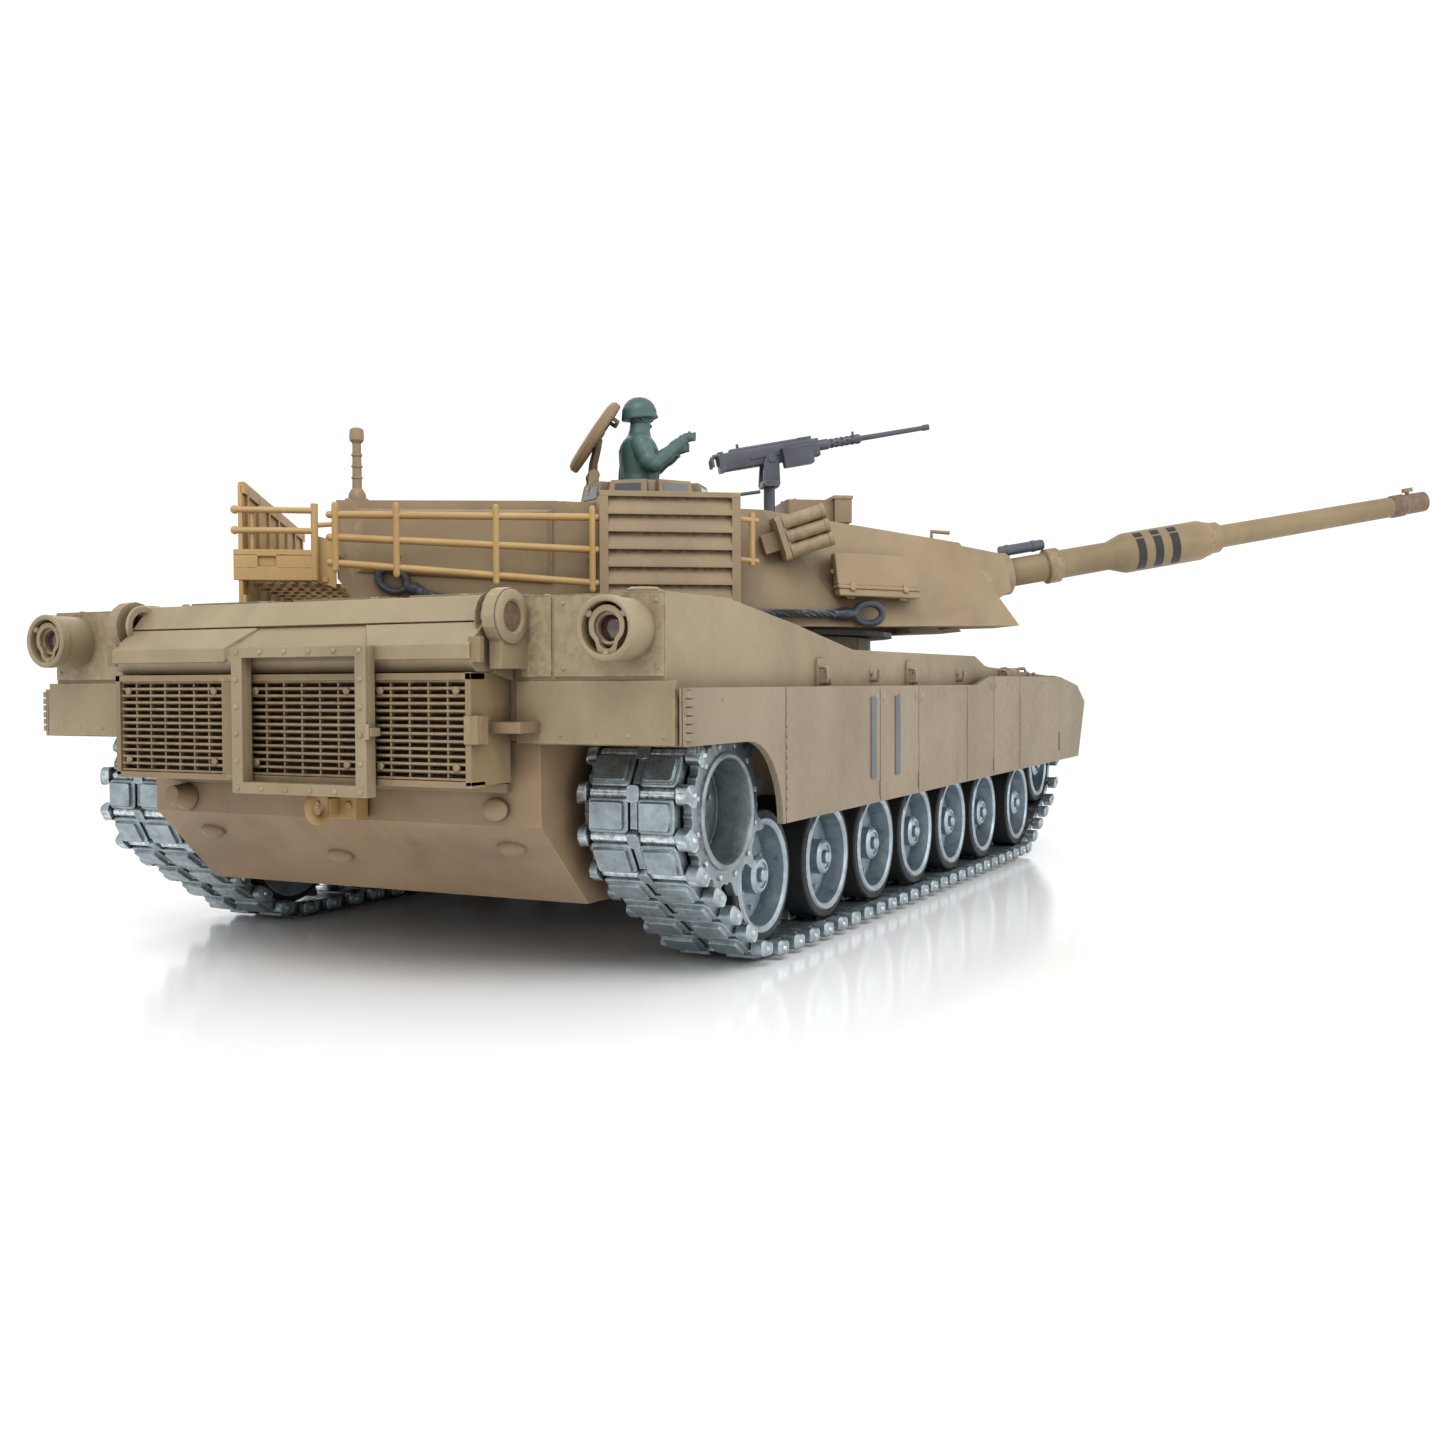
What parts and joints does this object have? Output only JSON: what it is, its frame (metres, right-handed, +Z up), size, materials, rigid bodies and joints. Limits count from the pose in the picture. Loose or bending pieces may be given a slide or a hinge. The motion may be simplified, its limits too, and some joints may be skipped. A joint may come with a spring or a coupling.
{
  "type": "model tank",
  "caption": "Radio-controlled model battle tank with a turning turret, elevating long gun, machine gun, road wheels, tracks and an open commander hatch with a crew figure.",
  "frame": {"origin": "on the ground, below the centre of the bounding box at rest, with the gun swung to the right", "axes": "+X towards the nose of the hull, +Y to its left, +Z up"},
  "size_m": [0.474, 0.4642, 0.191],
  "materials": {
    "sand_plastic": "matt sand paint with a light dusting",
    "rail_sand": "matt, yellower sand paint",
    "track_metal": "cast, dark grey, edges rubbed bright",
    "wheel_metal": "turned and cast, with a black tyre band",
    "black_plastic": "moulded",
    "gun_slate": "satin slate grey",
    "figure_green": "matt dark green",
    "battery_wrap": "shrink wrap",
    "board": "solder mask"
  },
  "bodies": {
    "hull": {"lower_hull": "sand_plastic", "upper_hull": "sand_plastic", "rear_grille": "sand_plastic", "rack_frame": "sand_plastic", "tow_pintle": "sand_plastic", "battery_door": "black_plastic", "battery_pack": "battery_wrap", "control_board": "board", "skirt_left": "sand_plastic", "track_left": "track_metal", "tail_light_left": "sand_plastic", "headlight_left": "sand_plastic", "gearbox_left": "black_plastic", "skirt_right": "sand_plastic", "track_right": "track_metal", "tail_light_right": "sand_plastic", "headlight_right": "sand_plastic", "gearbox_right": "black_plastic"},
    "turret": {"turret_shell": "sand_plastic", "turret_ring": "black_plastic", "bustle_basket": "rail_sand", "sight_housing": "sand_plastic", "commander_cupola": "sand_plastic", "commander_figure": "figure_green", "tow_cable": "black_plastic", "wind_mast": "sand_plastic", "louvre_box_left": "sand_plastic", "side_rail_left": "rail_sand", "smoke_launcher_left": "sand_plastic", "cheek_box_left": "sand_plastic", "louvre_box_right": "sand_plastic", "side_rail_right": "rail_sand", "smoke_launcher_right": "sand_plastic", "cheek_box_right": "sand_plastic"},
    "gun": {"mantlet": "sand_plastic", "gun_barrel": "sand_plastic", "sight_tube": "gun_slate"},
    "mg_cradle": {"mg_cradle": "gun_slate"},
    "mg_gun": {"mg_gun": "gun_slate"},
    "commander_hatch": {"commander_hatch": "sand_plastic"},
    "loader_hatch": {"loader_hatch": "sand_plastic"},
    "power_switch": {"power_switch": "black_plastic"},
    "sprocket_left": {"sprocket_left": "track_metal"},
    "road_wheel_left_1": {"road_wheel_left_1": "wheel_metal"},
    "road_wheel_left_2": {"road_wheel_left_2": "wheel_metal"},
    "road_wheel_left_3": {"road_wheel_left_3": "wheel_metal"},
    "road_wheel_left_4": {"road_wheel_left_4": "wheel_metal"},
    "road_wheel_left_5": {"road_wheel_left_5": "wheel_metal"},
    "road_wheel_left_6": {"road_wheel_left_6": "wheel_metal"},
    "road_wheel_left_7": {"road_wheel_left_7": "wheel_metal"},
    "idler_left": {"idler_left": "wheel_metal"},
    "sprocket_right": {"sprocket_right": "track_metal"},
    "road_wheel_right_1": {"road_wheel_right_1": "wheel_metal"},
    "road_wheel_right_2": {"road_wheel_right_2": "wheel_metal"},
    "road_wheel_right_3": {"road_wheel_right_3": "wheel_metal"},
    "road_wheel_right_4": {"road_wheel_right_4": "wheel_metal"},
    "road_wheel_right_5": {"road_wheel_right_5": "wheel_metal"},
    "road_wheel_right_6": {"road_wheel_right_6": "wheel_metal"},
    "road_wheel_right_7": {"road_wheel_right_7": "wheel_metal"},
    "idler_right": {"idler_right": "wheel_metal"}
  },
  "joints": [
    {"name": "left_drive", "type": "hinge", "parent": "hull", "child": "sprocket_left", "pos_m": [-0.17695, 0.13081, 0.0465], "axis": [0, 1, 0], "continuous": true},
    {"name": "left_wheel_1_spin", "type": "hinge", "parent": "hull", "child": "road_wheel_left_1", "pos_m": [-0.14495, 0.13081, 0.025], "axis": [0, 1, 0], "continuous": true},
    {"name": "left_wheel_2_spin", "type": "hinge", "parent": "hull", "child": "road_wheel_left_2", "pos_m": [-0.09595, 0.13081, 0.025], "axis": [0, 1, 0], "continuous": true},
    {"name": "left_wheel_3_spin", "type": "hinge", "parent": "hull", "child": "road_wheel_left_3", "pos_m": [-0.05195, 0.13081, 0.025], "axis": [0, 1, 0], "continuous": true},
    {"name": "left_wheel_4_spin", "type": "hinge", "parent": "hull", "child": "road_wheel_left_4", "pos_m": [-0.00795, 0.13081, 0.025], "axis": [0, 1, 0], "continuous": true},
    {"name": "left_wheel_5_spin", "type": "hinge", "parent": "hull", "child": "road_wheel_left_5", "pos_m": [0.03605, 0.13081, 0.025], "axis": [0, 1, 0], "continuous": true},
    {"name": "left_wheel_6_spin", "type": "hinge", "parent": "hull", "child": "road_wheel_left_6", "pos_m": [0.08105, 0.13081, 0.025], "axis": [0, 1, 0], "continuous": true},
    {"name": "left_wheel_7_spin", "type": "hinge", "parent": "hull", "child": "road_wheel_left_7", "pos_m": [0.13605, 0.13081, 0.025], "axis": [0, 1, 0], "continuous": true},
    {"name": "left_idler_spin", "type": "hinge", "parent": "hull", "child": "idler_left", "pos_m": [0.17405, 0.13081, 0.041], "axis": [0, 1, 0], "continuous": true},
    {"name": "right_drive", "type": "hinge", "parent": "hull", "child": "sprocket_right", "pos_m": [-0.17695, -0.04919, 0.0465], "axis": [0, 1, 0], "continuous": true},
    {"name": "right_wheel_1_spin", "type": "hinge", "parent": "hull", "child": "road_wheel_right_1", "pos_m": [-0.14495, -0.04919, 0.025], "axis": [0, 1, 0], "continuous": true},
    {"name": "right_wheel_2_spin", "type": "hinge", "parent": "hull", "child": "road_wheel_right_2", "pos_m": [-0.09595, -0.04919, 0.025], "axis": [0, 1, 0], "continuous": true},
    {"name": "right_wheel_3_spin", "type": "hinge", "parent": "hull", "child": "road_wheel_right_3", "pos_m": [-0.05195, -0.04919, 0.025], "axis": [0, 1, 0], "continuous": true},
    {"name": "right_wheel_4_spin", "type": "hinge", "parent": "hull", "child": "road_wheel_right_4", "pos_m": [-0.00795, -0.04919, 0.025], "axis": [0, 1, 0], "continuous": true},
    {"name": "right_wheel_5_spin", "type": "hinge", "parent": "hull", "child": "road_wheel_right_5", "pos_m": [0.03605, -0.04919, 0.025], "axis": [0, 1, 0], "continuous": true},
    {"name": "right_wheel_6_spin", "type": "hinge", "parent": "hull", "child": "road_wheel_right_6", "pos_m": [0.08105, -0.04919, 0.025], "axis": [0, 1, 0], "continuous": true},
    {"name": "right_wheel_7_spin", "type": "hinge", "parent": "hull", "child": "road_wheel_right_7", "pos_m": [0.13605, -0.04919, 0.025], "axis": [0, 1, 0], "continuous": true},
    {"name": "right_idler_spin", "type": "hinge", "parent": "hull", "child": "idler_right", "pos_m": [0.17405, -0.04919, 0.041], "axis": [0, 1, 0], "continuous": true},
    {"name": "turret_traverse", "type": "hinge", "parent": "hull", "child": "turret", "pos_m": [0.01305, 0.04081, 0.1], "axis": [0, 0, 1], "range_deg": [-106, 214]},
    {"name": "gun_elevation", "type": "hinge", "parent": "turret", "child": "gun", "pos_m": [0.06007, -0.02391, 0.1188], "axis": [-0.809, -0.5878, 0], "range_deg": [-10.8, 10.2]},
    {"name": "mg_swivel", "type": "hinge", "parent": "turret", "child": "mg_cradle", "pos_m": [-0.01403, -0.00359, 0.15], "axis": [0, 0, 1], "range_deg": [-35, 35]},
    {"name": "mg_elevation", "type": "hinge", "parent": "mg_cradle", "child": "mg_gun", "pos_m": [-0.01403, -0.00359, 0.1674], "axis": [-0.809, -0.5878, 0], "range_deg": [-15, 25]},
    {"name": "commander_hatch_hinge", "type": "hinge", "parent": "turret", "child": "commander_hatch", "pos_m": [-0.05175, 0.05344, 0.1602], "axis": [-0.809, -0.5878, 0], "range_deg": [0, 55]},
    {"name": "loader_hatch_hinge", "type": "hinge", "parent": "turret", "child": "loader_hatch", "pos_m": [0.02102, 0.1047, 0.1472], "axis": [-0.809, -0.5878, 0], "range_deg": [0, 110]},
    {"name": "power_slide", "type": "slide", "parent": "hull", "child": "power_switch", "axis": [1, 0, 0], "range_m": [0, 0.004]}
  ],
  "couplings": [
    {"joint": "left_wheel_1_spin", "follows": "left_drive", "ratio": 1.1459},
    {"joint": "left_wheel_2_spin", "follows": "left_drive", "ratio": 1.1459},
    {"joint": "left_wheel_3_spin", "follows": "left_drive", "ratio": 1.1459},
    {"joint": "left_wheel_4_spin", "follows": "left_drive", "ratio": 1.1459},
    {"joint": "left_wheel_5_spin", "follows": "left_drive", "ratio": 1.1459},
    {"joint": "left_wheel_6_spin", "follows": "left_drive", "ratio": 1.1459},
    {"joint": "left_wheel_7_spin", "follows": "left_drive", "ratio": 1.1459},
    {"joint": "left_idler_spin", "follows": "left_drive", "ratio": 1.0847},
    {"joint": "right_wheel_1_spin", "follows": "right_drive", "ratio": 1.1459},
    {"joint": "right_wheel_2_spin", "follows": "right_drive", "ratio": 1.1459},
    {"joint": "right_wheel_3_spin", "follows": "right_drive", "ratio": 1.1459},
    {"joint": "right_wheel_4_spin", "follows": "right_drive", "ratio": 1.1459},
    {"joint": "right_wheel_5_spin", "follows": "right_drive", "ratio": 1.1459},
    {"joint": "right_wheel_6_spin", "follows": "right_drive", "ratio": 1.1459},
    {"joint": "right_wheel_7_spin", "follows": "right_drive", "ratio": 1.1459},
    {"joint": "right_idler_spin", "follows": "right_drive", "ratio": 1.0847}
  ]
}
